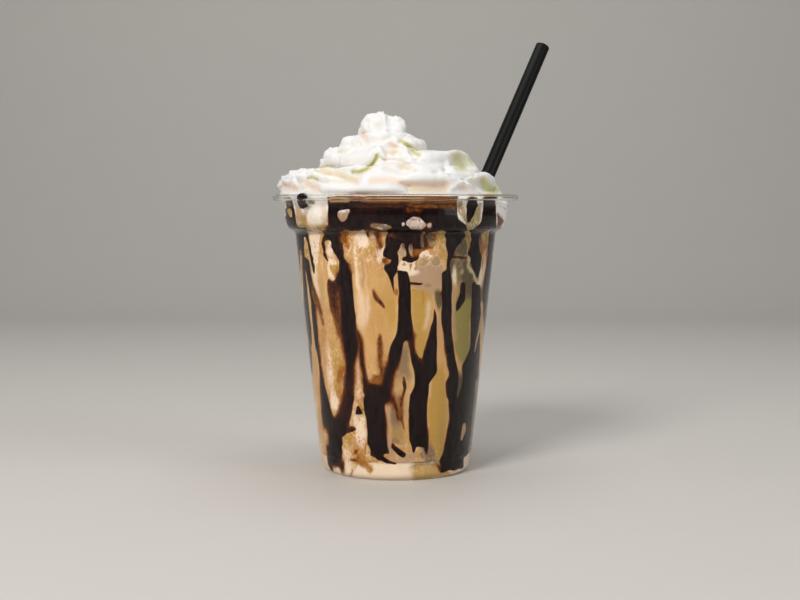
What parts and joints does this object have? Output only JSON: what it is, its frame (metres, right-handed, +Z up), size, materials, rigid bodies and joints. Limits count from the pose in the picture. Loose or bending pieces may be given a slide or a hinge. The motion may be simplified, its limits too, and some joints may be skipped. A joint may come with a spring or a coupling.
{
  "type": "chocolate milkshake",
  "caption": "Chocolate milkshake in a clear tapered plastic cup with sauce runs inside, a piped whipped cream top and a black straw.",
  "frame": {"origin": "on the floor under the middle of the whole part's box; the cup's axis stands 8.5 mm to the left and 1.2 mm to the front of it, because the straw leans out to the right", "axes": "+Z up along the cup's axis, -Y to the front that the picture shows, +X to the right, where the straw leans"},
  "size_m": [0.115, 0.1004, 0.1755],
  "materials": {
    "clear_plastic": "clear thermoformed sheet, smooth and shiny",
    "milkshake": "thick milky drink, tan with darker swirls",
    "chocolate_sauce": "near black syrup, amber brown where thin, wet gloss",
    "cream": "soft satin whipped cream",
    "black_plastic": "satin black plastic"
  },
  "bodies": {
    "root": {"cup": "clear_plastic", "drink": "milkshake", "chocolate_sauce": "chocolate_sauce", "whipped_cream": "cream", "straw": "black_plastic"}
  },
  "joints": []
}
